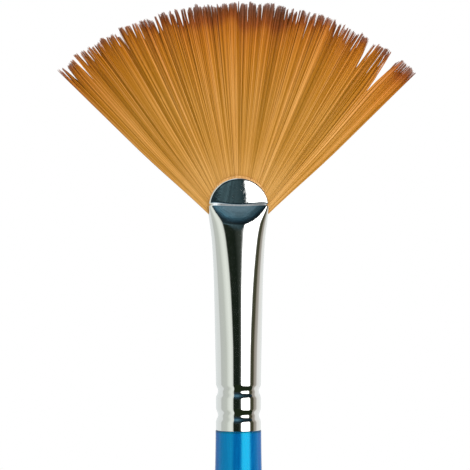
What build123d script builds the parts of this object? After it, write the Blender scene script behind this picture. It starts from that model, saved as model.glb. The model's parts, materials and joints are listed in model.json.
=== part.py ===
from build123d import *
from math import asin, cos, copysign, degrees, pi, radians, sin, sqrt, tan
import os

# A fan brush for painting: a turned and lacquered wooden handle, a nickel-plated brass ferrule that is
# round and crimped on the handle's tenon at one end and pinched into a flat, round-topped mouth at the
# other, and a fan of tapered synthetic filaments set in resin inside it.
# +Z runs along the brush from the handle's tail (z = 0) to the hair. X is the width of the fan and Y its
# thickness. The filaments that show are grouped into tufts, and each tuft bends by itself at the mouth.

# Handle, from its rounded tail up to the shoulder that the ferrule stops against
handle_length = 155.0
tail_radius = 1.9
tail_parallel = 10.0
belly_radius = 4.0
belly_length = 10.0
belly_to_shoulder = 27.0
shoulder_step = 0.08  # how far the shoulder stands out past the ferrule
shoulder_slope = 0.015  # loss of radius per mm of height, at the shoulder
lacquer_thickness = 0.15
tenon_length = 11.0
tenon_chamfer = 0.6

# Ferrule, a seamless tube. Heights are above the shoulder.
ferrule_radius = 3.25
ferrule_wall = 0.3
round_length = 12.0
round_flare = 0.1  # gained in radius over the round part
fold_height = 32.7  # where the flat mouth begins
fold_half_thickness = 1.2
mouth_radius = 4.42  # also half the ferrule's width at the fold
plate_half_thickness = 0.95
plate_bulge = 0.4  # how far the mouth's plates stand out in the middle of their width
crimp_depth = 0.3
crimp_half_width = 1.05
crimp_heights = (2.25, 5.75)

# The pinched part, as shares of the way from the round part to the fold: height, widening, flattening
pinch_stations = (
    (0.24, 0.10, 0.10),
    (0.42, 0.17, 0.21),
    (0.60, 0.29, 0.32),
    (0.77, 0.49, 0.46),
    (0.90, 0.81, 0.74),
    (1.00, 1.00, 1.00),
)
squareness = 1.6  # added to an ellipse's power of 2 at the fold, which flattens the faces
ring_points = 32

# Inner pieces. Heights are above the shoulder.
seat_gap = 0.02  # between nested pieces that are bonded or pressed together
glue_thickness = 0.1
glue_below_tenon_end = 1.0
resin_bottom = 15.5
bundle_butt = 19.0
waist_top = 21.6
waist_radius = 2.1
thread_radius = 0.2
thread_turns = 4

# Fan of filaments, which all point away from a focus on the axis
fan_half_angle = 45.5
side_exit_depth = 0.71  # below the fold, where the outermost filaments leave the mouth
hair_length = 25.3  # in the middle of the fan, outside the mouth
tip_arc_radius = 40.9
inner_tufts = 13
outer_tuft_angle = 4.8
tuft_gap = 0.16  # between neighbours, at the mouth
tuft_clearance = 0.2  # from the mouth's edge to the root of a tuft
tip_thickness = 0.8
tip_fillet = 0.25

shoulder = handle_length
shoulder_radius = ferrule_radius + shoulder_step
round_top_radius = ferrule_radius + round_flare
round_top = shoulder + round_length
fold = shoulder + fold_height
mouth_top = fold + mouth_radius
side_exit = mouth_radius * cos(asin(side_exit_depth / mouth_radius))
focus_below_fold = side_exit_depth + side_exit / tan(radians(fan_half_angle))
focus = fold - focus_below_fold
tip_arc_centre = mouth_top + hair_length - tip_arc_radius
slot_half_thickness = plate_half_thickness - ferrule_wall
slot_bottom = fold - side_exit_depth - seat_gap
core_inset = lacquer_thickness + seat_gap
glue_outside = ferrule_wall + seat_gap
glue_inside = glue_outside + glue_thickness
tenon_inset = glue_inside + seat_gap

os.makedirs("parts", exist_ok=True)

# Outlines that more than one piece follows


def handle_outline(inset):
    """Half outline of the handle from its tail up to the shoulder, inset mm inside its surface."""
    tail = tail_radius - inset
    belly = belly_radius - inset
    tail_top = tail_radius + tail_parallel
    belly_top = shoulder - belly_to_shoulder
    belly_bottom = belly_top - belly_length
    CenterArc((0, tail_radius), tail, start_angle=270, arc_size=90)
    Line((tail, tail_radius), (tail, tail_top))
    Spline((tail, tail_top), (belly, belly_bottom), tangents=((0, 1), (0, 1)))
    Line((belly, belly_bottom), (belly, belly_top))
    neck = (shoulder_radius - inset, shoulder)
    Spline((belly, belly_top), neck, tangents=((0, 1), (-shoulder_slope, 1)))


def crimped_wall(inset, bottom, top, flare=0.0):
    """The ferrule's round wall with its crimps, inset mm inside its surface and wider by flare on top."""
    wall = ferrule_radius - inset
    height = bottom
    for crimp in crimp_heights:
        crimp_start = (wall, shoulder + crimp - crimp_half_width)
        crimp_end = (wall, shoulder + crimp + crimp_half_width)
        groove = (wall - crimp_depth, shoulder + crimp)
        Line((wall, height), crimp_start)
        Spline(crimp_start, groove, crimp_end, tangents=((0, 1), (0, 1)))
        height = crimp_end[1]
    Line((wall, height), (wall + flare, top))


def pinched_ring(half_width, half_thickness, power):
    """Points round a superellipse."""
    for i in range(ring_points):
        turn = 2 * pi * i / ring_points
        x = half_width * abs(cos(turn)) ** (2 / power)
        y = half_thickness * abs(sin(turn)) ** (2 / power)
        yield (copysign(x, cos(turn)), copysign(y, sin(turn)))


def pinched_solid(inset):
    """All that the ferrule's pinched part encloses up to the fold, inset mm inside its surface."""
    with BuildPart() as pinched:
        with BuildSketch(Plane.XY.offset(round_top)):
            Circle(round_top_radius - inset)
        for height, widening, flattening in pinch_stations:
            half_width = round_top_radius + widening * (mouth_radius - round_top_radius)
            half_thickness = round_top_radius + flattening * (fold_half_thickness - round_top_radius)
            power = 2 + squareness * flattening**2
            with BuildSketch(Plane.XY.offset(round_top + height * (fold - round_top))):
                with BuildLine():
                    Spline(*pinched_ring(half_width - inset, half_thickness - inset, power), periodic=True)
                make_face()
        loft()
        if inset:
            split(bisect_by=Plane.XY.offset(fold - inset), keep=Keep.BOTTOM)
    return pinched.part


def lens(half_thickness, reach):
    """Section of the mouth: two bulged faces, carried on straight where reach is past the mouth."""
    edge = half_thickness - plate_bulge
    for side in (-1, 1):
        ThreePointArc((-mouth_radius, side * edge), (0, side * half_thickness), (mouth_radius, side * edge))
        for end in (-1, 1):
            if reach > mouth_radius:
                Line((end * mouth_radius, side * edge), (end * reach, side * edge))
    for end in (-1, 1):
        Line((end * reach, -edge), (end * reach, edge))


def mouth_solid(half_thickness, bottom):
    """A lens-shaped plate from bottom up to the mouth's round edge."""
    with BuildPart() as plate:
        with BuildSketch(Plane.XY.offset(bottom)):
            with BuildLine():
                lens(half_thickness, mouth_radius)
            make_face()
        extrude(amount=mouth_top - bottom)
        with BuildSketch(Plane.XZ):
            with Locations((0, fold)):
                Circle(mouth_radius)
        extrude(amount=half_thickness, both=True, mode=Mode.INTERSECT)
    return plate.part


pinched_outside = pinched_solid(0)
pinched_bore = pinched_solid(ferrule_wall)
pinched_filling = pinched_solid(ferrule_wall + seat_gap)
mouth_plates = mouth_solid(plate_half_thickness, fold)
mouth_filling = mouth_solid(slot_half_thickness - seat_gap, slot_bottom + seat_gap)

# Handle

tenon_radius = ferrule_radius - tenon_inset
tenon_end = shoulder + tenon_length
with BuildPart() as handle_core:
    with BuildSketch(Plane.XZ):
        with BuildLine():
            handle_outline(core_inset)
            Line((shoulder_radius - core_inset, shoulder), (tenon_radius, shoulder))
            crimped_wall(tenon_inset, shoulder, tenon_end - tenon_chamfer)
            Polyline(
                (tenon_radius, tenon_end - tenon_chamfer),
                (tenon_radius - tenon_chamfer, tenon_end),
                (0, tenon_end),
                (0, core_inset),
            )
        make_face()
    revolve(axis=Axis.Z)
handle_core.part.label = "handle_core"
export_step(handle_core.part, "parts/handle_core.step")

with BuildPart() as lacquer_coat:
    with BuildSketch(Plane.XZ):
        with BuildLine():
            handle_outline(0)
            Line((shoulder_radius, shoulder), (shoulder_radius - lacquer_thickness, shoulder))
            handle_outline(lacquer_thickness)
            Line((0, lacquer_thickness), (0, 0))
        make_face()
    revolve(axis=Axis.Z)
lacquer_coat.part.label = "lacquer_coat"
export_step(lacquer_coat.part, "parts/lacquer_coat.step")

glue_bottom = shoulder + seat_gap
glue_top = tenon_end - glue_below_tenon_end
with BuildPart() as handle_glue:
    with BuildSketch(Plane.XZ):
        with BuildLine():
            crimped_wall(glue_outside, glue_bottom, glue_top)
            crimped_wall(glue_inside, glue_bottom, glue_top)
            for height in (glue_bottom, glue_top):
                Line((ferrule_radius - glue_outside, height), (ferrule_radius - glue_inside, height))
        make_face()
    revolve(axis=Axis.Z)
handle_glue.part.label = "handle_glue"
export_step(handle_glue.part, "parts/handle_glue.step")

# Ferrule

ferrule_foot = shoulder + seat_gap


def round_profile(inset):
    """Half section of all that the ferrule's round part encloses, inset mm inside its surface."""
    crimped_wall(inset, ferrule_foot, round_top, round_flare)
    Polyline(
        (round_top_radius - inset, round_top),
        (0, round_top),
        (0, ferrule_foot),
        (ferrule_radius - inset, ferrule_foot),
    )


with BuildPart() as ferrule:
    for inset, pinched, mode in ((0, pinched_outside, Mode.ADD), (ferrule_wall, pinched_bore, Mode.SUBTRACT)):
        with BuildSketch(Plane.XZ):
            with BuildLine():
                round_profile(inset)
            make_face()
        revolve(axis=Axis.Z, mode=mode)
        add(pinched, mode=mode)
    add(mouth_plates)
    with BuildSketch(Plane.XY.offset(slot_bottom)):
        with BuildLine():
            lens(slot_half_thickness, mouth_radius + ferrule_wall)
        make_face()
    extrude(amount=mouth_top - slot_bottom, mode=Mode.SUBTRACT)
ferrule.part.label = "ferrule"
export_step(ferrule.part, "parts/ferrule.step")

# What the ferrule holds

with BuildPart() as resin_plug:
    add(pinched_filling)
    with Locations((0, 0, shoulder + resin_bottom)):
        Cylinder(
            mouth_radius,
            bundle_butt - seat_gap - resin_bottom,
            align=(Align.CENTER, Align.CENTER, Align.MIN),
            mode=Mode.INTERSECT,
        )
resin_plug.part.label = "resin_plug"
export_step(resin_plug.part, "parts/resin_plug.step")

with BuildPart() as filament_roots:
    add(pinched_filling)
    split(bisect_by=Plane.XY.offset(shoulder + waist_top), keep=Keep.TOP)
    with BuildSketch(Plane.XY.offset(shoulder + bundle_butt)):
        Circle(waist_radius)
    extrude(amount=waist_top - bundle_butt)
    add(mouth_filling)
filament_roots.part.label = "filament_roots"
export_step(filament_roots.part, "parts/filament_roots.step")

thread_pitch = 2 * thread_radius + seat_gap
with BuildPart() as tie_thread:
    for turn in range(thread_turns):
        with Locations((0, 0, shoulder + bundle_butt + (turn + 0.5) * thread_pitch)):
            Torus(waist_radius + seat_gap + thread_radius, thread_radius)
tie_thread.part.label = "tie_thread"
export_step(tie_thread.part, "parts/tie_thread.step")

# Tufts


def mouth_distance(angle):
    """From the fan's focus to the mouth's edge, at an angle off the axis."""
    offset = focus_below_fold * sin(radians(angle))
    return focus_below_fold * cos(radians(angle)) + sqrt(mouth_radius**2 - offset**2)


def tip_distance(angle):
    """From the fan's focus to the arc of the tips, at an angle off the axis."""
    above_centre = focus - tip_arc_centre
    offset = above_centre * sin(radians(angle))
    return sqrt(tip_arc_radius**2 - offset**2) - above_centre * cos(radians(angle))


def bundle_half_thickness(angle):
    """Half the thickness of the hair where it leaves the mouth."""
    x = mouth_distance(angle) * sin(radians(angle))
    return slot_half_thickness - seat_gap - plate_bulge * (x / mouth_radius) ** 2


inner_tuft_angle = 2 * (fan_half_angle - outer_tuft_angle) / inner_tufts
tuft_angles = [outer_tuft_angle] + [inner_tuft_angle] * inner_tufts + [outer_tuft_angle]
gap_angle = degrees(tuft_gap / mouth_distance(0))
tip_half = tip_thickness / 2
boundary = -fan_half_angle
for number, tuft_angle in enumerate(tuft_angles, start=1):
    first = boundary + gap_angle / 2
    middle = boundary + tuft_angle / 2
    last = boundary + tuft_angle - gap_angle / 2
    boundary += tuft_angle
    root = max(mouth_distance(angle) for angle in (first, middle, last)) + tuft_clearance
    root_half = bundle_half_thickness(middle)
    pivot = root + root_half
    tip = tip_distance(middle)
    along = Vector(sin(radians(first)), 0, cos(radians(first)))
    with BuildPart() as tuft:
        with BuildSketch(Plane((0, 0, focus), x_dir=along, z_dir=along.cross(Vector(0, 1, 0)))) as side:
            with BuildLine():
                ThreePointArc((pivot, root_half), (root, 0), (pivot, -root_half))
                Polyline((pivot, -root_half), (tip, -tip_half), (tip, tip_half), (pivot, root_half))
            make_face()
            tip_corners = side.vertices().sort_by(Axis((0, 0, focus), along))[-2:]
            fillet(tip_corners, tip_fillet)
        revolve(axis=Axis((0, 0, focus), (0, 1, 0)), revolution_arc=last - first)
    tuft.part.label = f"tuft_{number:02d}"
    export_step(tuft.part, f"parts/{tuft.part.label}.step")
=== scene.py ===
import json
from math import asin, atan2, cos, degrees, pi, radians, sin, sqrt, tan

import bpy
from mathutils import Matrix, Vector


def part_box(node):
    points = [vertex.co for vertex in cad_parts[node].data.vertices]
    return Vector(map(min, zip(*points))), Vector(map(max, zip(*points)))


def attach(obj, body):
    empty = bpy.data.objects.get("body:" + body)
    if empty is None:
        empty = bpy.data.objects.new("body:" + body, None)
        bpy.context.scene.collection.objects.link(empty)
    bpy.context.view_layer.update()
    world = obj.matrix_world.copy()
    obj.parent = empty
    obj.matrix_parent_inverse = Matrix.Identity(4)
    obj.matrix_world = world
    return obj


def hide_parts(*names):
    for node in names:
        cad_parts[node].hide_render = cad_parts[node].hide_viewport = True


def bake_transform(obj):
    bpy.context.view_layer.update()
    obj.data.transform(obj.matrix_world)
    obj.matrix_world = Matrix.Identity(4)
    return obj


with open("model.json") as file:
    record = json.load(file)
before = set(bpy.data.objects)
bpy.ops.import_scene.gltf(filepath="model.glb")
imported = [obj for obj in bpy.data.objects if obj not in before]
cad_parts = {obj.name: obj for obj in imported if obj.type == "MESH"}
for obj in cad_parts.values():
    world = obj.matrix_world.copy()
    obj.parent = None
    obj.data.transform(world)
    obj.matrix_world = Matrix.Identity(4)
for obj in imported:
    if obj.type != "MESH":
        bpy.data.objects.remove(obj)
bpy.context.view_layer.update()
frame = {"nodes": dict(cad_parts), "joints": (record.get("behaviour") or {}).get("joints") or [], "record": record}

mm = 0.001

# Places on the brush, from the frame
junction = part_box("lacquer_coat")[1].z  # where the ferrule meets the handle's shoulder
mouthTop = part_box("ferrule")[1].z
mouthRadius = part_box("ferrule")[1].x
fold = mouthTop - mouthRadius  # where the flat mouth begins
mounts = {mount["name"]: mount for mount in frame["record"]["mounts"]}
firstHinge = frame["joints"][0]
hingeAngle = atan2(-firstHinge["axis"][2], firstHinge["axis"][0])
# the place on the axis that the filaments point away from
focus = firstHinge["pos_m"][2] - firstHinge["pos_m"][0] / tan(hingeAngle)


# Helpers


def linear(hexColour):
    channels = [int(hexColour[i : i + 2], 16) / 255 for i in (0, 2, 4)]
    return tuple(c / 12.92 if c <= 0.04045 else ((c + 0.055) / 1.055) ** 2.4 for c in channels) + (1.0,)


def addNode(tree, kind, inputs=None, **settings):
    # an input is a value, a socket or a node, which stands for its first output
    node = tree.nodes.new(kind)
    for name, value in settings.items():
        setattr(node, name, value)
    for socket, value in (inputs or {}).items():
        if isinstance(value, bpy.types.Node):
            value = value.outputs[0]
        if isinstance(value, bpy.types.NodeSocket):
            tree.links.new(value, node.inputs[socket])
        else:
            node.inputs[socket].default_value = value
    return node


def setStops(ramp, stops):
    while len(ramp.elements) > 1:
        ramp.elements.remove(ramp.elements[0])
    ramp.elements[0].position, ramp.elements[0].color = stops[0][0], linear(stops[0][1])
    for place, hexColour in stops[1:]:
        ramp.elements.new(place).color = linear(hexColour)


def newMaterial(name, **values):
    material = bpy.data.materials.new(name)
    material.use_nodes = True
    shader = material.node_tree.nodes["Principled BSDF"]
    for socket, value in values.items():
        shader.inputs[socket.replace("_", " ")].default_value = value
    return material, material.node_tree, shader


def newPiece(name, vertices, faces, material):
    mesh = bpy.data.meshes.new(name)
    mesh.from_pydata([tuple(v) for v in vertices], [], faces)
    mesh.shade_smooth()
    mesh.materials.append(material)
    piece = bpy.data.objects.new(name, mesh)
    bpy.context.scene.collection.objects.link(piece)
    return piece


def applyModifiers(piece):
    evaluated = piece.evaluated_get(bpy.context.evaluated_depsgraph_get())
    mesh = bpy.data.meshes.new_from_object(evaluated, depsgraph=bpy.context.evaluated_depsgraph_get())
    piece.modifiers.clear()
    piece.data = mesh
    return piece


def smooth(value, low, high):
    share = min(max((value - low) / (high - low), 0), 1)
    return share * share * (3 - 2 * share)


def curveThrough(stations, place):
    # a smooth curve through (place, value) pairs, with no overshoot where they only rise
    last = len(stations) - 1
    i = max(k for k in range(last) if k == 0 or stations[k][0] <= place)
    slopes = []
    for k in (i, i + 1):
        low, high = stations[max(k - 1, 0)], stations[min(k + 1, last)]
        slopes.append((high[1] - low[1]) / (high[0] - low[0]))
    (x0, y0), (x1, y1) = stations[i], stations[i + 1]
    width = x1 - x0
    u = min(max((place - x0) / width, 0), 1)
    return (
        (2 * u**3 - 3 * u**2 + 1) * y0
        + (u**3 - 2 * u**2 + u) * width * slopes[0]
        + (3 * u**2 - 2 * u**3) * y1
        + (u**3 - u**2) * width * slopes[1]
    )


# Materials

filamentLook = {
    "stops": (  # from the mouth to the tip
        (0.00, "cc9b58"),
        (0.20, "c38e46"),
        (0.45, "c38c44"),
        (0.68, "c08136"),
        (0.79, "bd782b"),
        (0.86, "b56d24"),
        (0.91, "964e1b"),
        (0.96, "824826"),
        (1.00, "805039"),
    ),
    "shadeShift": -0.03,  # how much nearer the mouth the darkest filaments turn brown
    # painted light: the finest ends are painted paler, for the light they scatter
    "tipBloom": "a58f8a",  # the finest ends scatter light
    "bloomFrom": 0.96,
    "bloomTo": 1.03,
    "bloomShare": 0.65,
    "lightness": (0.46, 1.28),  # of the darkest and the lightest filament
    "saturation": (1.14, 0.96),
    "roughness": 0.42,
    "ior": 1.52,
    "specular": 0.3,
}


def dyedFilament():
    # Drawn and tapered polyester (PBT) filament, dyed gold and dipped brown at the tips: a satin
    # surface, each filament a little lighter or darker than the next, and darker at the sides of its lock, which
    # is painted shadow.
    look = filamentLook
    material, tree, shader = newMaterial(
        "dyedPolyesterFilament",
        Roughness=look["roughness"],
        IOR=look["ior"],
        Specular_IOR_Level=look["specular"],
    )
    along, shade, dip = (
        addNode(tree, "ShaderNodeAttribute", attribute_name=name).outputs["Fac"]
        for name in ("along", "shade", "dip")
    )
    shift = addNode(
        tree, "ShaderNodeMath", {0: shade, 1: look["shadeShift"], 2: dip}, operation="MULTIPLY_ADD"
    )
    place = addNode(tree, "ShaderNodeMath", {0: along, 1: shift}, operation="ADD", use_clamp=True)
    colour = addNode(tree, "ShaderNodeValToRGB", {0: place})
    setStops(colour.color_ramp, look["stops"])
    # painted light: paler towards the very tips
    ends = addNode(
        tree,
        "ShaderNodeMapRange",
        {0: along, 1: look["bloomFrom"], 2: look["bloomTo"], 4: look["bloomShare"]},
    )
    withPaintedTipLight = addNode(
        tree, "ShaderNodeMix", {0: ends, 6: colour, 7: linear(look["tipBloom"])}, data_type="RGBA"
    )
    lightness, saturation = (
        addNode(tree, "ShaderNodeMapRange", {0: shade, 3: look[name][0], 4: look[name][1]}).outputs[0]
        for name in ("lightness", "saturation")
    )
    finished = addNode(
        tree,
        "ShaderNodeHueSaturation",
        {"Color": withPaintedTipLight.outputs[2], "Saturation": saturation, "Value": lightness},
    )
    tree.links.new(finished.outputs[0], shader.inputs["Base Color"])
    return material


def objectNoise(tree, scale, detail=2.0, stretch=(1, 1, 1), roughness=0.5):
    coordinates = addNode(tree, "ShaderNodeTexCoord")
    mapping = addNode(tree, "ShaderNodeMapping", {"Vector": coordinates.outputs["Object"], "Scale": stretch})
    return addNode(
        tree,
        "ShaderNodeTexNoise",
        {"Vector": mapping, "Scale": scale, "Detail": detail, "Roughness": roughness},
    )


def upwardRange(tree, low, high, most=1.0):
    # from nothing at one height to the most at another
    coordinates = addNode(tree, "ShaderNodeTexCoord")
    upwards = addNode(tree, "ShaderNodeSeparateXYZ", {0: coordinates.outputs["Object"]})
    return addNode(tree, "ShaderNodeMapRange", {0: upwards.outputs[2], 1: low, 2: high, 4: most}).outputs[0]


def patternedFinish(tree, shader, pattern, stops, relief=None):
    # colours that follow a pattern, and a relief of (strength, depth) that follows it too
    colour = addNode(tree, "ShaderNodeValToRGB", {0: pattern})
    setStops(colour.color_ramp, stops)
    tree.links.new(colour.outputs[0], shader.inputs["Base Color"])
    if relief:
        bump = addNode(
            tree, "ShaderNodeBump", {"Height": pattern, "Strength": relief[0], "Distance": relief[1]}
        )
        tree.links.new(bump.outputs[0], shader.inputs["Normal"])


nickelLook = {
    "colour": "eeeeec",
    "hazeSize": 0.8 * mm,
    "roughness": (0.03, 0.1),  # where the haze is thin and where it is thick
    "drawMarkSize": 0.25 * mm,  # coarser than real draw marks, so that they show
    "drawMarkStretch": 0.04,
    "drawMarkRelief": (0.12, 0.004 * mm),  # strength and depth
    "dentSize": 0.5 * mm,
    "dentRelief": (0.5, 0.012 * mm),
    "dentReach": 2 * mm,  # below the fold, where the dents begin
}


def nickelPlate():
    # Bright nickel on drawn brass: a near-mirror with faint handling haze and draw marks along the tube.
    look = nickelLook
    material, tree, shader = newMaterial("brightNickelPlate", Metallic=1.0)
    shader.inputs["Base Color"].default_value = linear(look["colour"])
    haze = objectNoise(tree, 1 / look["hazeSize"], 3.0)
    rough = addNode(
        tree,
        "ShaderNodeMapRange",
        {0: haze, 1: 0.35, 2: 0.75, 3: look["roughness"][0], 4: look["roughness"][1]},
    )
    tree.links.new(rough.outputs[0], shader.inputs["Roughness"])
    drawMarks = objectNoise(tree, 1 / look["drawMarkSize"], 2.0, stretch=(1, 1, look["drawMarkStretch"]))
    strength, depth = look["drawMarkRelief"]
    drawn = addNode(tree, "ShaderNodeBump", {"Height": drawMarks, "Strength": strength, "Distance": depth})
    # small dents where the mouth was pressed flat
    dents = objectNoise(tree, 1 / look["dentSize"], 3.0)
    strength, depth = look["dentRelief"]
    bump = addNode(
        tree,
        "ShaderNodeBump",
        {
            "Height": dents,
            "Strength": upwardRange(tree, fold - look["dentReach"], fold, strength),
            "Distance": depth,
            "Normal": drawn,
        },
    )
    tree.links.new(bump.outputs[0], shader.inputs["Normal"])
    return material


lacquerLook = {
    "stops": ((0.3, "004a8b"), (0.5, "005597"), (0.7, "0060a2")),
    "pearlTint": "30ecff",
    "streakSize": 0.35 * mm,
    "streakStretch": 0.12,
    "flakeSize": 0.07 * mm,  # coarser than real flakes, so that they show
    "flakeShare": 0.45,
    # painted shade just below the ferrule's edge: its colour, and how far down it reaches
    "paintedShadeColour": "02426e",
    "paintedShadeReach": (0.3 * mm, 0.18 * mm),  # below the ferrule, from where it starts to where it is full
    "shine": (0.5, 0.02),  # of the flakes, face on and towards the outline
    "shineFades": (0.22, 0.6),
    "roughness": (0.17, 0.28),
    "relief": (0.2, 0.01 * mm),
}


def pearlLacquer():
    # Blue lacquer with fine pearl in it, dipped and left to level. The pearl is mica coated with
    # titanium dioxide, whose index is about 2.4, so it gives a wide cyan shine; the clear top a small
    # white one.
    look = lacquerLook
    material, tree, shader = newMaterial(
        "pearlBlueLacquer", Roughness=0.2, IOR=2.4, Coat_Weight=0.04, Coat_Roughness=0.04, Coat_IOR=1.5
    )
    shader.inputs["Specular Tint"].default_value = linear(look["pearlTint"])
    streaks = objectNoise(tree, 1 / look["streakSize"], 3.0, stretch=(1, 1, look["streakStretch"]))
    flakes = objectNoise(tree, 1 / look["flakeSize"], 1.0)
    both = addNode(tree, "ShaderNodeMix", {0: look["flakeShare"], 2: streaks, 3: flakes})
    patternedFinish(tree, shader, both, look["stops"], look["relief"])
    # painted shade: the coat is darkened just below the ferrule's edge, where the ferrule meets the handle
    low, high = (junction - reach for reach in look["paintedShadeReach"])
    paintedShadeMix = addNode(
        tree,
        "ShaderNodeMix",
        {
            0: upwardRange(tree, low, high),
            6: shader.inputs["Base Color"].links[0].from_socket,
            7: linear(look["paintedShadeColour"]),
        },
        data_type="RGBA",
    )
    tree.links.new(paintedShadeMix.outputs[2], shader.inputs["Base Color"])
    # the flakes lie flat, so their shine dies away towards the outline
    facing = addNode(tree, "ShaderNodeLayerWeight", {"Blend": 0.5})
    near, far = look["shineFades"]
    shine = addNode(
        tree,
        "ShaderNodeMapRange",
        {0: facing.outputs["Facing"], 1: near, 2: far, 3: look["shine"][0], 4: look["shine"][1]},
        interpolation_type="SMOOTHSTEP",
    )
    tree.links.new(shine.outputs[0], shader.inputs["Specular IOR Level"])
    rough = addNode(
        tree,
        "ShaderNodeMapRange",
        {0: both, 1: 0.3, 2: 0.7, 3: look["roughness"][0], 4: look["roughness"][1]},
    )
    tree.links.new(rough.outputs[0], shader.inputs["Roughness"])
    return material


def turnedBirch():
    # Birch, turned and sanded: pale, with grain 0.5 mm wide along the handle.
    material, tree, shader = newMaterial("turnedBirch", Roughness=0.6, IOR=1.5)
    grain = objectNoise(tree, 1 / (0.5 * mm), 4.0, stretch=(1, 1, 0.05))
    stops = ((0.3, "b98f5e"), (0.5, "d8b888"), (0.75, "e6cda4"))
    patternedFinish(tree, shader, grain, stops, relief=(0.3, 0.02 * mm))
    return material


def curedResin(name, dark, light):
    # Poured epoxy: smooth and amber, with clouds 0.9 mm wide.
    material, tree, shader = newMaterial(name, Roughness=0.25, IOR=1.55)
    cloud = objectNoise(tree, 1 / (0.9 * mm), 3.0)
    patternedFinish(tree, shader, cloud, ((0.3, dark), (0.7, light)))
    return material


def waxedThread():
    # Waxed cotton thread: matt, with the twist of its plies showing as slanted bands about 1.5 mm apart.
    material, tree, shader = newMaterial("waxedCottonThread", Roughness=0.8, IOR=1.5, Sheen_Weight=0.3)
    coordinates = addNode(tree, "ShaderNodeTexCoord")
    plies = addNode(
        tree,
        "ShaderNodeTexWave",
        {"Vector": coordinates.outputs["Object"], "Scale": 1 / (4 * mm), "Distortion": 1.5},
        bands_direction="DIAGONAL",
    )
    patternedFinish(tree, shader, plies, ((0.1, "b9ae98"), (0.7, "ece4d2")), relief=(0.4, 0.02 * mm))
    return material


def packedFilament():
    # The same filament packed side by side, seen where it fills the mouth: streaks 0.1 mm wide.
    material, tree, shader = newMaterial("packedPolyesterFilament", Roughness=0.45, IOR=1.52)
    streaks = objectNoise(tree, 1 / (0.1 * mm), 1.0, stretch=(1, 1, 0.06))
    stops = ((0.3, "8f6330"), (0.5, "c08c4a"), (0.7, "d8a868"))
    patternedFinish(tree, shader, streaks, stops, relief=(0.5, 0.05 * mm))
    return material


filament = dyedFilament()
nickel = nickelPlate()
lacquer = pearlLacquer()
nodeMaterials = {
    "handle_core": turnedBirch(),
    "handle_glue": curedResin("curedGlue", "a88c50", "c9b37c"),
    "resin_plug": curedResin("pouredEpoxy", "8a5f28", "b98a44"),
    "tie_thread": waxedThread(),
    "filament_roots": packedFilament(),
}
for nodeName, material in nodeMaterials.items():
    mesh = frame["nodes"][nodeName].data
    mesh.materials.clear()
    mesh.materials.append(material)
print("materials made")


# Handle lacquer

grip, tailEnd = mounts["grip"], mounts["tail"]
handle = {
    "shoulderRadius": 3.33 * mm,
    "bellyTop": grip["pos_m"][2] + grip["dims"]["length_mm"] * mm / 2,
    "bellyBottom": grip["pos_m"][2] - grip["dims"]["length_mm"] * mm / 2,
    "bellyRadius": grip["dims"]["r_mm"] * mm,
    "tailRadius": tailEnd["dims"]["r_mm"] * mm,
    "tailTop": tailEnd["pos_m"][2] + tailEnd["dims"]["length_mm"] * mm / 2,
    "coat": 0.15 * mm,
    "edgeRound": 0.08 * mm,  # of the coat's edge at the shoulder
    "innerEnd": 0.1 * mm,  # smaller rings inside the coat are left out
    "segments": 96,
    "tailRings": 14,
    "taperRings": 150,
    "edgeRings": 4,
}


def handleRadius(z):
    h = handle
    if z < h["tailRadius"]:
        return sqrt(max(h["tailRadius"] ** 2 - (h["tailRadius"] - z) ** 2, 0))
    if z < h["bellyBottom"]:
        swell = smooth(z, h["tailTop"], h["bellyBottom"])
        return h["tailRadius"] + (h["bellyRadius"] - h["tailRadius"]) * swell
    return h["bellyRadius"] + (h["shoulderRadius"] - h["bellyRadius"]) * smooth(z, h["bellyTop"], junction)


def turned(name, profile, segments, material):
    # profile runs from one place on the axis to another, as (radius, height)
    vertices, faces = [], []
    poles = (profile[0], profile[-1])
    for radius, height in profile[1:-1]:
        for k in range(segments):
            turn = 2 * pi * k / segments
            vertices.append((radius * cos(turn), radius * sin(turn), height))
    rings = len(profile) - 2
    for j in range(rings - 1):
        for k in range(segments):
            nextK = (k + 1) % segments
            low, high = j * segments, (j + 1) * segments
            faces.append((low + k, low + nextK, high + nextK, high + k))
    for pole, ring, order in ((0, 0, -1), (1, rings - 1, 1)):
        vertices.append((0, 0, poles[pole][1]))
        for k in range(segments):
            corner = (ring * segments + k, ring * segments + (k + 1) % segments, len(vertices) - 1)
            faces.append(corner[::order])
    return newPiece(name, vertices, faces, material)


def lacquerProfile():
    h = handle
    tailRings, taperRings, edge = h["tailRings"], h["taperRings"], h["edgeRound"]
    tail = [h["tailRadius"] * (1 - cos(pi / 2 * k / tailRings)) for k in range(tailRings + 1)]
    taper = [h["tailRadius"] + (junction - h["tailRadius"]) * k / taperRings for k in range(1, taperRings)]
    outside = [(handleRadius(z), z) for z in tail + taper]
    for k in range(h["edgeRings"] + 1):
        turn = pi / 2 * k / h["edgeRings"]
        outside.append((h["shoulderRadius"] - edge * (1 - cos(turn)), junction - edge * (1 - sin(turn))))
    inside = [(h["shoulderRadius"] - h["coat"], junction)]
    for z in reversed(tail[1:] + taper):
        inside.append((max(handleRadius(z) - h["coat"], 0), max(z, h["coat"])))
    inside = [(radius, z) for radius, z in inside if radius > h["innerEnd"]]
    return outside + inside + [(0, h["coat"])]


handleLacquer = turned("handleLacquer", lacquerProfile(), handle["segments"], lacquer)
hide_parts("lacquer_coat")
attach(handleLacquer, "brush")
print("handle lacquer made")


# Ferrule

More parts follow.
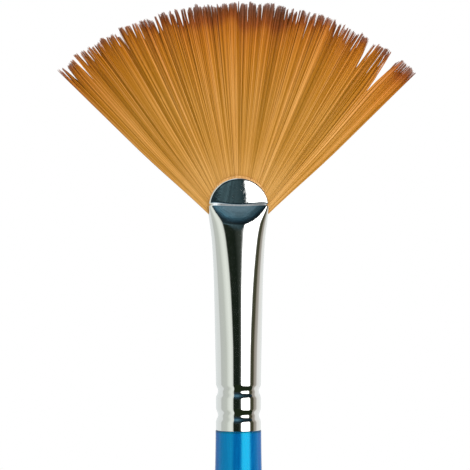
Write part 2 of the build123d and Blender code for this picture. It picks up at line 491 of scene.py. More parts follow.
ferrule = {
    "foot": junction + 0.02 * mm,
    "radius": 3.25 * mm,
    "wall": 0.3 * mm,
    "flare": 0.1 * mm,  # gained in radius over the round part
    "roundLength": 12.0 * mm,
    "crimps": (2.25 * mm, 5.75 * mm),
    "crimpDepth": 0.3 * mm,
    "crimpHalfWidth": 1.05 * mm,
    "foldHalfThickness": 1.2 * mm,
    "plateHalfThickness": (1.02 * mm, 0.70 * mm),  # at the fold and at the top: the plates lean together
    "plateBulge": (0.36 * mm, 0.63 * mm),
    "plateHeight": 0.94,  # of a half circle, because the lips are a little flatter
    "ledgeSlope": 1.6,  # height of the step in to the plates, for each mm of its depth
    "ledgeLeast": 0.12 * mm,
    "notchDepth": 1.1 * mm,  # how far the mouth is open below the fold, at its sides
    "notchHalfWidth": 0.25 * mm,
    "notchRound": 0.25 * mm,
    "squareness": 3.2,
    "lipRoll": 0.3 * mm,  # over which the plates turn in at the lip
    "weld": 0.0005 * mm,
    "halfSegments": 90,
    "crimpedRings": 64,
    "ringStep": 0.11 * mm,  # in the crimped part
    "plainRings": 60,
    "pinchedLength": 4 * mm,  # below the fold, with rings closer together
    "pinchedRings": 30,
    "notchRings": 22,
    "plateShares": ((0, 0.24, 8), (0.24, 0.94, 20), (0.94, 1, 8)),  # from, to, number of rings
    # shares of the way from the round part to the fold
    "widening": ((0, 0), (0.24, 0.10), (0.42, 0.17), (0.60, 0.29), (0.77, 0.49), (0.90, 0.81), (1, 1)),
    "flattening": (
        (0, 0),
        (0.1, 0.04),
        (0.3, 0.16),
        (0.5, 0.28),
        (0.7, 0.395),
        (0.87, 0.49),
        (0.91, 0.59),
        (0.95, 0.76),
        (1, 1),
    ),
}


def ferruleSection(z):
    # half width, half thickness and power of the superellipse at height z
    f = ferrule
    height = z - junction
    if height <= f["roundLength"]:
        radius = f["radius"]
        straight = f["crimps"][1] + f["crimpHalfWidth"]
        if height > straight:
            radius += f["flare"] * (height - straight) / (f["roundLength"] - straight)
        for crimp in f["crimps"]:
            away = abs(height - crimp) / f["crimpHalfWidth"]
            if away < 1:
                radius -= f["crimpDepth"] * (1 + cos(pi * away)) / 2
        return radius, radius, 2.0
    top = f["radius"] + f["flare"]
    share = (height - f["roundLength"]) / (fold - junction - f["roundLength"])
    widening = curveThrough(f["widening"], share)
    flattening = curveThrough(f["flattening"], share)
    return (
        top + widening * (mouthRadius - top),
        top + flattening * (f["foldHalfThickness"] - top),
        2 + f["squareness"] * max(flattening, 0) ** 3,
    )


def ferruleHalfRing(z, side):
    # points from the right edge to the left one, on the front (side -1) or the back (side 1)
    f = ferrule
    width, thickness, power = ferruleSection(z)
    notch = min(max((z - (fold - f["notchDepth"])) / f["notchRound"], 0), 1)
    start = asin(f["notchHalfWidth"] * sqrt(notch * (2 - notch)) / thickness)
    points = []
    for k in range(f["halfSegments"] + 1):
        turn = start + (pi - 2 * start) * k / f["halfSegments"]
        fit = (abs(cos(turn)) ** power + abs(sin(turn)) ** power) ** (-1 / power)
        points.append((width * fit * cos(turn), side * thickness * fit * sin(turn)))
    return points


def ferruleHeights():
    f = ferrule
    heights = [f["foot"] + f["ringStep"] * k for k in range(f["crimpedRings"])]
    for top, rings in (
        (fold - f["pinchedLength"], f["plainRings"]),
        (fold - f["notchDepth"], f["pinchedRings"]),
        (fold, f["notchRings"]),
    ):
        low = heights[-1]
        heights += [low + (top - low) * k / rings for k in range(1, rings + 1)]
    return heights


def ferruleSkin():
    f = ferrule
    count = f["halfSegments"] + 1
    vertices, faces = [], []
    heights = ferruleHeights()
    shares = []
    for low, high, rings in f["plateShares"]:
        shares += [low + (high - low) * k / rings for k in range(1, rings + 1)]
    for side in (-1, 1):
        base = len(vertices)
        for z in heights:
            vertices += [(x, y, z) for x, y in ferruleHalfRing(z, side)]
        foldRing = ferruleHalfRing(fold, side)
        for share in shares:
            for x, y in foldRing:
                aside = x / mouthRadius
                reach = sqrt(max(mouthRadius**2 - x * x, 0))
                rise = reach * share / mouthRadius
                height = f["plateHeight"] * reach * share
                thickness, bulge = (
                    low + (high - low) * rise for low, high in (f["plateHalfThickness"], f["plateBulge"])
                )
                plate = thickness - bulge * aside**2
                inside = mouthRadius * (1 - sqrt(min(aside**2 + rise**2, 1)))  # distance in from the lip
                if inside < f["lipRoll"]:
                    plate -= f["lipRoll"] - sqrt(f["lipRoll"] ** 2 - (f["lipRoll"] - inside) ** 2)
                ledge = max(f["ledgeSlope"] * (abs(y) - plate), f["ledgeLeast"])
                step = smooth(height, 0, ledge)
                vertices.append((x, y + step * (side * min(plate, abs(y)) - y), fold + height))
        rows = len(heights) + len(shares)
        for j in range(rows - 1):
            for k in range(count - 1):
                a = base + j * count + k
                corner = (a, a + 1, a + 1 + count, a + count)
                faces.append(corner if side > 0 else corner[::-1])
    return vertices, faces


ferruleTube = newPiece("ferruleTube", *ferruleSkin(), nickel)
weld = ferruleTube.modifiers.new("weld", "WELD")  # joins front and back along the sides, below the notches
weld.merge_threshold = ferrule["weld"]
shell = ferruleTube.modifiers.new("wall", "SOLIDIFY")
shell.thickness, shell.offset = ferrule["wall"], -1
applyModifiers(ferruleTube)
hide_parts("ferrule")
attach(ferruleTube, "brush")
print("ferrule made:", len(ferruleTube.data.polygons), "faces")


# Filaments

fan = {
    "halfAngle": radians(45.5),
    "outerTuftAngle": radians(4.8),
    "innerTufts": 13,
    "filamentsPerDegree": 33,
    "sides": 6,
    "points": 14,
    "seed": 7,
    "seedStep": 31.0,  # between one kind of random number and the next
    "lockSeeds": (3, 4, 5),
    "lockUnevenness": (28.0, 3.0),  # changes per radian, and how many locks they shift it by
    "closing": (0.87, 1.03),  # along a filament, where its lock closes
    "denseMiddle": (radians(7), radians(16)),
    "bow": (0.35, 0.5),  # share at the mouth, and where along the filament it is whole
    "lockTone": 0.24,  # how much of its shade a filament shares with its lock
    # painted shadow darkens the sides of each lock
    "lockEdge": (0.35, 0.95),  # from a lock's middle to its side, where it darkens
    "mouthTone": 0.45,  # shade that all tend to at the mouth
    "mouthToneShare": 0.5,
    "mouthToneReach": 0.45,
    "dipUnevenness": (9.0, -0.035, 0.05),  # changes per radian, and their range
    "dipShift": (-0.1, 0.06),
    "dipCurve": (  # from one side of the fan to the other
        (0, 0.3),
        (0.05, 0.02),
        (0.16, 0.02),
        (0.26, 0.25),
        (0.42, 0.76),
        (0.58, 0.76),
        (0.8, 0.3),
        (0.93, 0.3),
        (1, 0.55),
    ),
    "taper": ((0, 1), (0.7, 1), (0.88, 0.88), (0.97, 0.68), (1, 0.4)),  # thickness along a filament
    "weld": 0.0002 * mm,
    "bend": (-0.1 * mm, 17 * mm),  # past the mouth's edge, where a tuft starts and ends to bend
}
tipArcRadius = 37.7 * mm
filamentSizes = {  # the node tree's inputs, the same for every tuft
    "Focus Height": focus,
    "Mouth Offset": fold - focus,
    "Mouth Radius": mouthRadius,
    "Root Depth": 1.3 * mm,
    "Root Half Thickness": 0.27 * mm,
    "Edge Thinning": 0.35,
    "Tip Half Thickness": 0.32 * mm,
    "Tip Arc Radius": tipArcRadius,
    "Tip Arc Offset": focus - (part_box("tuft_08")[1].z - tipArcRadius),
    "Filament Radius": 0.062 * mm,
    "Lock Angle": radians(1.7),
    "Lock Pinch": 0.8,
    "Lock Round": 0.65 * mm,
    "Lock Shadow": 0.75,
    "Middle Pinch": 0.3,
    "Tip Excess": 0.5 * mm,
    "Corner Excess": 0.6 * mm,
    "Lock Length": 0.6 * mm,
    "Stray Length": 0.34 * mm,
    "Stray Angle": radians(0.35),
    "Side Spread": 0.75 * mm,
    "Half Angle": fan["halfAngle"],
    "Gap Start": 29.4 * mm,
    "Gap Reach": radians(2.6),
    "Gap 1 Angle": radians(33.8),
    "Gap 1 Opening": radians(0.8),
    "Gap 2 Angle": radians(39.8),
    "Gap 2 Opening": radians(1.35),
}


def setCurve(node, stops):
    points = node.mapping.curves[0].points
    points[0].location, points[1].location = stops[0], stops[-1]
    for stop in stops[1:-1]:
        points.new(*stop)
    return points


def filamentTree():
    tree = bpy.data.node_groups.new("filamentTuft", "GeometryNodeTree")
    interface = tree.interface
    interface.new_socket("Geometry", in_out="INPUT", socket_type="NodeSocketGeometry")
    for name in ("Filaments", "Sides", "Points", "Seed"):
        interface.new_socket(name, in_out="INPUT", socket_type="NodeSocketInt")
    for name in ("From Angle", "To Angle", *filamentSizes):
        interface.new_socket(name, in_out="INPUT", socket_type="NodeSocketFloat")
    interface.new_socket("Material", in_out="INPUT", socket_type="NodeSocketMaterial")
    interface.new_socket("Geometry", in_out="OUTPUT", socket_type="NodeSocketGeometry")
    given = tree.nodes.new("NodeGroupInput").outputs

    # One straight curve for each filament
    line = addNode(tree, "GeometryNodeCurvePrimitiveLine")
    stepped = addNode(tree, "GeometryNodeResampleCurve", {"Curve": line, "Count": given["Points"]})
    copies = addNode(
        tree,
        "GeometryNodeDuplicateElements",
        {"Geometry": stepped, "Amount": given["Filaments"]},
        domain="SPLINE",
    )
    number = copies.outputs["Duplicate Index"]
    along = addNode(tree, "GeometryNodeSplineParameter").outputs["Factor"]

    # Random numbers from 0 to 1, drawn for each filament
    draws = {}
    for k, name in enumerate(("across", "depth", "length", "lean", "shade")):
        seed = addNode(tree, "ShaderNodeMath", {0: given["Seed"], 1: fan["seedStep"] * k}, operation="ADD")
        draws[name] = addNode(
            tree, "FunctionNodeRandomValue", {"ID": number, "Seed": seed}, data_type="FLOAT"
        ).outputs[1]

    # The filament's angle in the fan
    across = addNode(tree, "ShaderNodeMath", {0: number, 1: draws["across"]}, operation="ADD")
    share = addNode(tree, "ShaderNodeMath", {0: across, 1: given["Filaments"]}, operation="DIVIDE")
    angle = addNode(
        tree, "ShaderNodeMapRange", {0: share, 3: given["From Angle"], 4: given["To Angle"]}
    ).outputs[0]
    sine = addNode(tree, "ShaderNodeMath", {0: angle}, operation="SINE").outputs[0]
    cosine = addNode(tree, "ShaderNodeMath", {0: angle}, operation="COSINE").outputs[0]

    # Distances from the focus to the mouth's edge and to the arc of the tips
    ends = []
    for offset, radius, sign in (
        ("Mouth Offset", "Mouth Radius", 1.0),
        ("Tip Arc Offset", "Tip Arc Radius", -1.0),
    ):
        sideways = addNode(tree, "ShaderNodeMath", {0: given[offset], 1: sine}, operation="MULTIPLY")
        sidewaysSquare = addNode(tree, "ShaderNodeMath", {0: sideways, 1: sideways}, operation="MULTIPLY")
        radiusSquare = addNode(
            tree, "ShaderNodeMath", {0: given[radius], 1: given[radius]}, operation="MULTIPLY"
        )
        rest = addNode(tree, "ShaderNodeMath", {0: radiusSquare, 1: sidewaysSquare}, operation="SUBTRACT")
        chord = addNode(tree, "ShaderNodeMath", {0: rest}, operation="SQRT")
        upwards = addNode(tree, "ShaderNodeMath", {0: given[offset], 1: cosine}, operation="MULTIPLY")
        end = addNode(tree, "ShaderNodeMath", {0: upwards, 1: sign, 2: chord}, operation="MULTIPLY_ADD")
        ends.append(end.outputs[0])
    mouth, arc = ends

    # Locks of filaments that cling together, uneven in width
    changes, shift = fan["lockUnevenness"]
    unevenness = addNode(
        tree, "ShaderNodeTexNoise", {"W": angle, "Scale": changes, "Detail": 2.0}, noise_dimensions="1D"
    )
    evenLocks = addNode(tree, "ShaderNodeMath", {0: angle, 1: given["Lock Angle"]}, operation="DIVIDE")
    locks = addNode(
        tree, "ShaderNodeMath", {0: unevenness, 1: shift, 2: evenLocks}, operation="MULTIPLY_ADD"
    )
    lock = addNode(tree, "ShaderNodeMath", {0: locks}, operation="FLOOR").outputs[0]
    inLock = addNode(tree, "ShaderNodeMath", {0: locks}, operation="FRACT")
    fromMiddle = addNode(tree, "ShaderNodeMath", {0: inLock, 1: 0.5}, operation="SUBTRACT").outputs[0]
    lockDraws = [
        addNode(tree, "FunctionNodeRandomValue", {"ID": lock, "Seed": seed}, data_type="FLOAT").outputs[1]
        for seed in fan["lockSeeds"]
    ]

    # Sideways: each lock closes towards its middle near the tip, and each filament leans a little
    low, high = fan["closing"]
    closing = addNode(
        tree, "ShaderNodeMapRange", {0: along, 1: low, 2: high}, interpolation_type="SMOOTHSTEP"
    )
    fromCentre = addNode(tree, "ShaderNodeMath", {0: angle}, operation="ABSOLUTE")
    # the middle of the fan is the densest, so its locks part the least
    low, high = fan["denseMiddle"]
    parting = addNode(
        tree,
        "ShaderNodeMapRange",
        {0: fromCentre, 1: low, 2: high, 3: given["Middle Pinch"], 4: given["Lock Pinch"]},
        interpolation_type="SMOOTHSTEP",
    )
    inwards = lockDraws[0]
    for factor in (parting.outputs[0], closing.outputs[0], given["Lock Angle"], fromMiddle):
        inwards = addNode(tree, "ShaderNodeMath", {0: inwards, 1: factor}, operation="MULTIPLY").outputs[0]
    lean = addNode(tree, "ShaderNodeMath", {0: draws["lean"], 1: 0.5}, operation="SUBTRACT").outputs[0]
    for factor in (given["Stray Angle"], along):
        lean = addNode(tree, "ShaderNodeMath", {0: lean, 1: factor}, operation="MULTIPLY").outputs[0]
    closed = addNode(tree, "ShaderNodeMath", {0: angle, 1: inwards}, operation="SUBTRACT")
    direction = addNode(tree, "ShaderNodeMath", {0: closed, 1: lean}, operation="ADD").outputs[0]

    # Outwards: from inside the mouth to a tip that is a little short or long
    lockShorter = addNode(
        tree, "ShaderNodeMath", {0: lockDraws[1], 1: given["Lock Length"]}, operation="MULTIPLY"
    )
    shorter = addNode(
        tree, "ShaderNodeMath", {0: draws["length"], 1: given["Stray Length"]}, operation="MULTIPLY"
    )
    lockSide = addNode(tree, "ShaderNodeMath", {0: fromMiddle, 1: 2.0}, operation="MULTIPLY")
    lockEnd = addNode(tree, "ShaderNodeMath", {0: lockSide, 1: lockSide}, operation="MULTIPLY")
    bothShorter = addNode(tree, "ShaderNodeMath", {0: lockShorter, 1: shorter}, operation="ADD")
    less = addNode(
        tree,
        "ShaderNodeMath",
        {0: lockEnd, 1: given["Lock Round"], 2: bothShorter},
        operation="MULTIPLY_ADD",
    )
    sideShare = addNode(
        tree, "ShaderNodeMath", {0: angle, 1: given["Half Angle"]}, operation="DIVIDE"
    ).outputs[0]
    sideSquare = addNode(tree, "ShaderNodeMath", {0: sideShare, 1: sideShare}, operation="MULTIPLY")
    sideCube = addNode(tree, "ShaderNodeMath", {0: sideSquare, 1: sideShare}, operation="MULTIPLY")
    sideSixth = addNode(tree, "ShaderNodeMath", {0: sideCube, 1: sideCube}, operation="MULTIPLY")
    fullArc = addNode(tree, "ShaderNodeMath", {0: arc, 1: given["Tip Excess"]}, operation="ADD")
    cornerArc = addNode(
        tree,
        "ShaderNodeMath",
        {0: sideSixth, 1: given["Corner Excess"], 2: fullArc},
        operation="MULTIPLY_ADD",
    )
    tip = addNode(tree, "ShaderNodeMath", {0: cornerArc, 1: less}, operation="SUBTRACT").outputs[0]
    start = addNode(tree, "ShaderNodeMath", {0: mouth, 1: given["Root Depth"]}, operation="SUBTRACT")
    distance = addNode(tree, "ShaderNodeMapRange", {0: along, 3: start, 4: tip}).outputs[0]

    # Two places where the fan has parted: filaments beside them are pushed apart towards the tips
    opened = addNode(tree, "ShaderNodeMapRange", {0: distance, 1: given["Gap Start"], 2: tip}).outputs[0]
    for gap in ("Gap 1", "Gap 2"):
        beside = addNode(
            tree, "ShaderNodeMath", {0: angle, 1: given[f"{gap} Angle"]}, operation="SUBTRACT"
        ).outputs[0]
        sideOf = addNode(tree, "ShaderNodeMath", {0: beside}, operation="SIGN")
        farOff = addNode(tree, "ShaderNodeMath", {0: beside}, operation="ABSOLUTE")
        nearness = addNode(
            tree,
            "ShaderNodeMapRange",
            {0: farOff, 2: given["Gap Reach"], 3: 1.0, 4: 0.0},
            interpolation_type="SMOOTHSTEP",
        )
        push = nearness.outputs[0]
        for factor in (given[f"{gap} Opening"], opened):
            push = addNode(tree, "ShaderNodeMath", {0: push, 1: factor}, operation="MULTIPLY").outputs[0]
        direction = addNode(
            tree, "ShaderNodeMath", {0: push, 1: sideOf, 2: direction}, operation="MULTIPLY_ADD"
        ).outputs[0]

    # The outer filaments bow outwards, square to their own direction
    low, high = fan["bow"]
    bow = addNode(tree, "ShaderNodeMapRange", {0: along, 2: high, 3: low}, interpolation_type="SMOOTHSTEP")
    aside = sideCube.outputs[0]
    for factor in (bow.outputs[0], given["Side Spread"]):
        aside = addNode(tree, "ShaderNodeMath", {0: aside, 1: factor}, operation="MULTIPLY").outputs[0]
    asideX = addNode(tree, "ShaderNodeMath", {0: aside, 1: cosine}, operation="MULTIPLY").outputs[0]
    asideZ = addNode(tree, "ShaderNodeMath", {0: aside, 1: sine}, operation="MULTIPLY").outputs[0]

    # Through the thickness: the bundle is a lens at the mouth and thins towards the tips
    mouthX = addNode(tree, "ShaderNodeMath", {0: mouth, 1: sine}, operation="MULTIPLY")
    mouthShare = addNode(tree, "ShaderNodeMath", {0: mouthX, 1: given["Mouth Radius"]}, operation="DIVIDE")
    shareSquare = addNode(tree, "ShaderNodeMath", {0: mouthShare, 1: mouthShare}, operation="MULTIPLY")
    thinning = addNode(
        tree, "ShaderNodeMath", {0: shareSquare, 1: given["Edge Thinning"]}, operation="MULTIPLY"
    )
    fullness = addNode(tree, "ShaderNodeMath", {0: 1.0, 1: thinning}, operation="SUBTRACT")
    rootHalf = addNode(
        tree, "ShaderNodeMath", {0: fullness, 1: given["Root Half Thickness"]}, operation="MULTIPLY"
    )
    half = addNode(tree, "ShaderNodeMapRange", {0: along, 3: rootHalf, 4: given["Tip Half Thickness"]})
    depthSigned = addNode(
        tree, "ShaderNodeMath", {0: draws["depth"], 1: 2.0, 2: -1.0}, operation="MULTIPLY_ADD"
    )
    depth = addNode(tree, "ShaderNodeMath", {0: depthSigned, 1: half}, operation="MULTIPLY").outputs[0]

    directionSine = addNode(tree, "ShaderNodeMath", {0: direction}, operation="SINE")
    directionCosine = addNode(tree, "ShaderNodeMath", {0: direction}, operation="COSINE")
    x = addNode(
        tree, "ShaderNodeMath", {0: distance, 1: directionSine, 2: asideX}, operation="MULTIPLY_ADD"
    )
    base = addNode(tree, "ShaderNodeMath", {0: given["Focus Height"], 1: asideZ}, operation="SUBTRACT")
    z = addNode(
        tree, "ShaderNodeMath", {0: distance, 1: directionCosine, 2: base}, operation="MULTIPLY_ADD"
    )
    position = addNode(tree, "ShaderNodeCombineXYZ", {0: x, 1: depth, 2: z})
    placed = addNode(tree, "GeometryNodeSetPosition", {"Geometry": copies, "Position": position})

    # What the material reads: the place along the filament past the mouth, its shade (its own tone,
    # with painted shadow at the sides of its lock), and how much nearer the mouth than elsewhere it turns brown
    outside = addNode(tree, "ShaderNodeMapRange", {0: distance, 1: mouth, 2: arc})
    mixedShade = addNode(tree, "ShaderNodeMix", {0: fan["lockTone"], 2: draws["shade"], 3: lockDraws[2]})
    # painted shadow: a lock's edges are darkened for the shadow between it and the next
    low, high = fan["lockEdge"]
    lockEdge = addNode(
        tree,
        "ShaderNodeMapRange",
        {0: lockEnd, 1: low, 2: high, 4: given["Lock Shadow"]},
        interpolation_type="SMOOTHSTEP",
    )
    paintedEdgeShadow = addNode(tree, "ShaderNodeMath", {0: lockEdge, 1: lockDraws[0]}, operation="MULTIPLY")
    edgeLight = addNode(tree, "ShaderNodeMath", {0: 1.0, 1: paintedEdgeShadow}, operation="SUBTRACT")
    toneWithPaintedShadow = addNode(tree, "ShaderNodeMath", {0: mixedShade, 1: edgeLight}, operation="MULTIPLY")
    # close to the mouth they lie in one even layer, so they differ less
    spread = addNode(
        tree, "ShaderNodeMapRange", {0: outside, 1: 0.0, 2: fan["mouthToneReach"], 3: fan["mouthToneShare"]}
    )
    evenShade = addNode(tree, "ShaderNodeMix", {0: spread, 2: fan["mouthTone"], 3: toneWithPaintedShadow})
    changes, low, high = fan["dipUnevenness"]
    dipNoise = addNode(
        tree, "ShaderNodeTexNoise", {"W": angle, "Scale": changes, "Detail": 3.0}, noise_dimensions="1D"
    )
    dipUneven = addNode(tree, "ShaderNodeMapRange", {0: dipNoise, 1: 0.3, 2: 0.7, 3: low, 4: high})
    dipRound = addNode(tree, "ShaderNodeMapRange", {0: angle, 1: -fan["halfAngle"], 2: fan["halfAngle"]})
    dipCurve = addNode(tree, "ShaderNodeFloatCurve", {"Value": dipRound})
    setCurve(dipCurve, fan["dipCurve"])
    low, high = fan["dipShift"]
    dipShift = addNode(tree, "ShaderNodeMapRange", {0: dipCurve, 3: low, 4: high})
    dip = addNode(tree, "ShaderNodeMath", {0: dipUneven, 1: dipShift}, operation="ADD")
    kept = placed.outputs[0]
    for name, value in (
        ("along", outside.outputs[0]),
        ("shade", evenShade.outputs[0]),
        ("dip", dip.outputs[0]),
        ("column", number),
    ):
        kept = addNode(
            tree,
            "GeometryNodeStoreNamedAttribute",
            {"Geometry": kept, "Name": name, "Value": value},
            data_type="FLOAT",
            domain="POINT",
        ).outputs[0]

    # A drawn taper: full for most of the length, then down to a point
    taper = addNode(tree, "ShaderNodeFloatCurve", {"Value": along})
    setCurve(taper, fan["taper"])
    thick = addNode(tree, "ShaderNodeMath", {0: taper, 1: given["Filament Radius"]}, operation="MULTIPLY")
    ring = addNode(
        tree,
        "GeometryNodeCurvePrimitiveCircle",
        {"Resolution": given["Sides"], "Radius": 1.0},
        mode="RADIUS",
    )
    around = addNode(tree, "GeometryNodeSplineParameter")
    marked = addNode(
        tree,
        "GeometryNodeStoreNamedAttribute",
        {"Geometry": ring, "Name": "around", "Value": around.outputs["Factor"]},
        data_type="FLOAT",
        domain="POINT",
    )
    tubes = addNode(
        tree,
        "GeometryNodeCurveToMesh",
        {"Curve": kept, "Profile Curve": marked, "Scale": thick, "Fill Caps": True},
    )

    # A map with one upright strip for each filament, its back folded onto its front
    aroundMesh, columnMesh, alongMesh = (
        addNode(tree, "GeometryNodeInputNamedAttribute", {"Name": name}, data_type="FLOAT").outputs[0]
        for name in ("around", "column", "along")
    )
    folded = addNode(tree, "ShaderNodeMath", {0: aroundMesh, 1: 2.0, 2: -1.0}, operation="MULTIPLY_ADD")
    unsigned = addNode(tree, "ShaderNodeMath", {0: folded}, operation="ABSOLUTE")
    inset = addNode(tree, "ShaderNodeMapRange", {0: unsigned, 3: 0.1, 4: 0.9})
    strip = addNode(tree, "ShaderNodeMath", {0: columnMesh, 1: inset}, operation="ADD")
    u = addNode(tree, "ShaderNodeMath", {0: strip, 1: given["Filaments"]}, operation="DIVIDE")
    v = addNode(tree, "ShaderNodeMapRange", {0: alongMesh, 3: 0.02, 4: 0.98})
    uv = addNode(tree, "ShaderNodeCombineXYZ", {0: u, 1: v})
    mapped = addNode(
        tree,
        "GeometryNodeStoreNamedAttribute",
        {"Geometry": tubes, "Name": "OFBake", "Value": uv},
        data_type="FLOAT2",
        domain="CORNER",
    )
    closedEnds = addNode(tree, "GeometryNodeMergeByDistance", {"Geometry": mapped, "Distance": fan["weld"]})
    softened = addNode(tree, "GeometryNodeSetShadeSmooth", {"Geometry": closedEnds})
    whole = addNode(tree, "GeometryNodeRealizeInstances", {"Geometry": softened})
    finished = addNode(tree, "GeometryNodeSetMaterial", {"Geometry": whole, "Material": given["Material"]})
    addNode(tree, "NodeGroupOutput", {0: finished})
    return tree


tuftTree = filamentTree()
innerAngle = 2 * (fan["halfAngle"] - fan["outerTuftAngle"]) / fan["innerTufts"]
tuftAngles = [fan["outerTuftAngle"]] + [innerAngle] * fan["innerTufts"] + [fan["outerTuftAngle"]]
fromAngle = -fan["halfAngle"]
filamentTotal = 0
for number, tuftAngle in enumerate(tuftAngles, start=1):
    tuft = newPiece(f"filaments_{number:02d}", [], [], filament)
    grow = tuft.modifiers.new("filaments", "NODES")
    grow.node_group = tuftTree
    given = dict(filamentSizes)
    given["Filaments"] = round(degrees(tuftAngle) * fan["filamentsPerDegree"])
    given["Sides"], given["Points"], given["Seed"] = fan["sides"], fan["points"], fan["seed"] + number
    given["From Angle"], given["To Angle"] = fromAngle, fromAngle + tuftAngle
    given["Material"] = filament
    for item in tuftTree.interface.items_tree:
        if item.in_out == "INPUT" and item.name in given:
            grow[item.identifier] = given[item.name]
    applyModifiers(tuft)
    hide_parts(f"tuft_{number:02d}")
    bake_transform(tuft)
    filamentTotal += given["Filaments"]
    fromAngle += tuftAngle
print("filaments made:", filamentTotal, "in", len(tuftAngles), "tufts")


# Floor, light and camera

studio = {
    "floorRadius": 0.45,
    "floorDrop": 0.3 * mm,
    "floorSegments": 128,
    "cameraTurn": radians(-4.5),
    "lens": 180,
    "viewHeight": 68.6 * mm,
    "viewSide": -0.5 * mm,
    "viewMiddle": junction + 28.5 * mm,
}
keyLight = {"place": (0.25, -0.6, 0.55), "size": 0.3, "watts": 3.0}
tent = {  # what gloss reflects: degrees round the brush from the front, heights from 0 to 1
    "bands": (
        (-180, "4c5352"),
        (-172, "68706e"),
        (-168, "dce1e2"),
        (-104, "d4d8d7"),
        (-97, "b6bab6"),
        (-64, "babfb8"),
        (-54, "d0d5ce"),
        (-40, "e0e5de"),
        (-29, "d2d7d0"),
        (-25, "1a2119"),
        (0, "161d16"),
        (12, "3c423c"),
        (15.5, "ffffff"),
        (60, "ffffff"),
        (66, "3c3e2f"),
        (82, "42402f"),
        (90, "958f85"),
        (104, "a5a19b"),
        (112, "d9d9d6"),
        (150, "e2e4e3"),
        (168, "dfe3e3"),
        (172, "68706e"),
        (180, "4c5352"),
    ),
    "bandTops": (
        (-180, 0.98),
        (-60, 0.98),
        (-30, 0.9),
        (-25, 0.125),
        (14, 0.125),
        (17, 0.24),
        (26, 0.38),
        (60, 0.4),
        (90, 0.5),
        (110, 0.98),
        (180, 0.98),
    ),
    "bandEdge": 0.03,
    "softbox": ((-180, 0), (15, 0), (17, 1), (59, 1), (61, 0), (180, 0)),
    "softboxGain": 2.6,
    "cloth": (  # overhead, by height
        (0.1, "222e30"),
        (0.16, "42585e"),
        (0.2, "42585e"),
        (0.24, "1e2c30"),
        (0.42, "1c2a30"),
        (0.55, "2a4350"),
        (0.66, "456a7b"),
        (0.76, "668a9a"),
        (0.83, "8aaaba"),
        (0.88, "f4faff"),
    ),
    "clothLight": ((-180, 1), (-5, 1), (14, 0.45), (35, 0.22), (70, 0.22), (110, 1), (180, 1)),
    "creaseScale": 22.0,
    "creaseLight": (0.5, 1.4),
    "table": "1e2618",
    "strength": 1.15,
}

floorMaterial, floorTree, floorShader = newMaterial("paleFloor", Roughness=0.8)
floorShader.inputs["Base Color"].default_value = linear("f2f1ee")
corners = range(studio["floorSegments"])
turns = [2 * pi * k / studio["floorSegments"] for k in corners]
rim = [(studio["floorRadius"] * cos(t), studio["floorRadius"] * sin(t), -studio["floorDrop"]) for t in turns]
floor = newPiece("floor", rim, [tuple(corners)], floorMaterial)
floor.visible_glossy = False


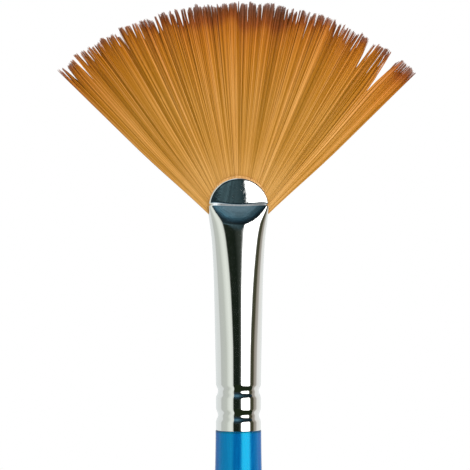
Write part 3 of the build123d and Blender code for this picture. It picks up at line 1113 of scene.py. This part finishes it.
def studioWorld():
    # A white room. What gloss sees round it is a tent with dark flags and a softbox.
    world = bpy.data.worlds.new("studio")
    bpy.context.scene.world = world
    world.use_nodes = True
    tree = world.node_tree
    tree.nodes.clear()
    coordinates = addNode(tree, "ShaderNodeTexCoord")
    parts = addNode(tree, "ShaderNodeSeparateXYZ", {0: coordinates.outputs["Generated"]})
    front = addNode(tree, "ShaderNodeMath", {0: parts.outputs[1], 1: -1.0}, operation="MULTIPLY")
    turn = addNode(tree, "ShaderNodeMath", {0: parts, 1: front}, operation="ARCTAN2")
    fromFront = addNode(tree, "ShaderNodeMath", {0: turn, 1: -studio["cameraTurn"]}, operation="ADD")
    place = addNode(tree, "ShaderNodeMapRange", {0: fromFront, 1: -pi, 2: pi})
    bands = addNode(tree, "ShaderNodeValToRGB", {0: place})
    setStops(bands.color_ramp, [((around + 180) / 360, colour) for around, colour in tent["bands"]])
    height = addNode(tree, "ShaderNodeMath", {0: parts.outputs[2]}, operation="ABSOLUTE")
    cloth = addNode(tree, "ShaderNodeValToRGB", {0: height})
    setStops(cloth.color_ramp, tent["cloth"])
    curves = []
    for name in ("bandTops", "clothLight", "softbox"):
        curve = addNode(tree, "ShaderNodeFloatCurve", {"Value": place})
        for point in setCurve(curve, [((around + 180) / 360, value) for around, value in tent[name]]):
            point.handle_type = "VECTOR"
        curves.append(curve.outputs[0])
    bandTops, clothLight, softbox = curves
    above = addNode(tree, "ShaderNodeMath", {0: bandTops, 1: tent["bandEdge"]}, operation="ADD")
    away = addNode(tree, "ShaderNodeMapRange", {0: height, 1: bandTops, 2: above})
    # the dark cloth overhead is creased
    creases = addNode(
        tree,
        "ShaderNodeTexNoise",
        {"Vector": coordinates.outputs["Generated"], "Scale": tent["creaseScale"], "Detail": 8.0},
    )
    low, high = tent["creaseLight"]
    creaseLight = addNode(tree, "ShaderNodeMapRange", {0: creases, 1: 0.3, 2: 0.7, 3: low, 4: high})
    shade = addNode(tree, "ShaderNodeMath", {0: creaseLight, 1: clothLight}, operation="MULTIPLY")
    shaded = addNode(tree, "ShaderNodeVectorMath", {0: cloth, "Scale": shade}, operation="SCALE")
    # below the bands is a dark table
    under = addNode(tree, "ShaderNodeMath", {0: parts.outputs[2], 1: 0.0}, operation="LESS_THAN")
    upOrDown = addNode(
        tree, "ShaderNodeMix", {0: under, 6: shaded, 7: linear(tent["table"])}, data_type="RGBA"
    )
    gain = addNode(tree, "ShaderNodeMapRange", {0: softbox, 3: 1.0, 4: tent["softboxGain"]})
    bright = addNode(tree, "ShaderNodeVectorMath", {0: bands, "Scale": gain}, operation="SCALE")
    inside = addNode(tree, "ShaderNodeMix", {0: away, 6: bright, 7: upOrDown.outputs[2]}, data_type="RGBA")
    rays = addNode(tree, "ShaderNodeLightPath")
    seen = addNode(tree, "ShaderNodeBackground", {0: inside.outputs[2], 1: tent["strength"]})
    room = addNode(tree, "ShaderNodeBackground", {0: (1, 1, 1, 1), 1: 1.0})
    mixed = addNode(tree, "ShaderNodeMixShader", {0: rays.outputs["Is Glossy Ray"], 1: room, 2: seen})
    addNode(tree, "ShaderNodeOutputWorld", {0: mixed})


studioWorld()

light = bpy.data.lights.new("keyLight", "AREA")
light.size, light.energy = keyLight["size"], keyLight["watts"]
lamp = bpy.data.objects.new("keyLight", light)
bpy.context.scene.collection.objects.link(lamp)
lamp.location = keyLight["place"]
away = [a - b for a, b in zip(keyLight["place"], (0, 0, fold))]  # it shines at the fold
lamp.rotation_euler = (atan2(sqrt(away[0] ** 2 + away[1] ** 2), away[2]), 0, atan2(away[0], -away[1]))
lamp.visible_glossy = False

camera = bpy.data.objects.new("camera", bpy.data.cameras.new("camera"))
bpy.context.scene.collection.objects.link(camera)
camera.data.lens = studio["lens"]
distance = studio["viewHeight"] * camera.data.lens / camera.data.sensor_width
camera.location = (
    studio["viewSide"] + distance * sin(studio["cameraTurn"]),
    -distance * cos(studio["cameraTurn"]),
    studio["viewMiddle"],
)
camera.rotation_euler = (pi / 2, 0, studio["cameraTurn"])
camera.data.clip_start = 0.01
bpy.context.scene.camera = camera
bpy.context.scene.view_settings.view_transform = "Standard"
print("studio made")
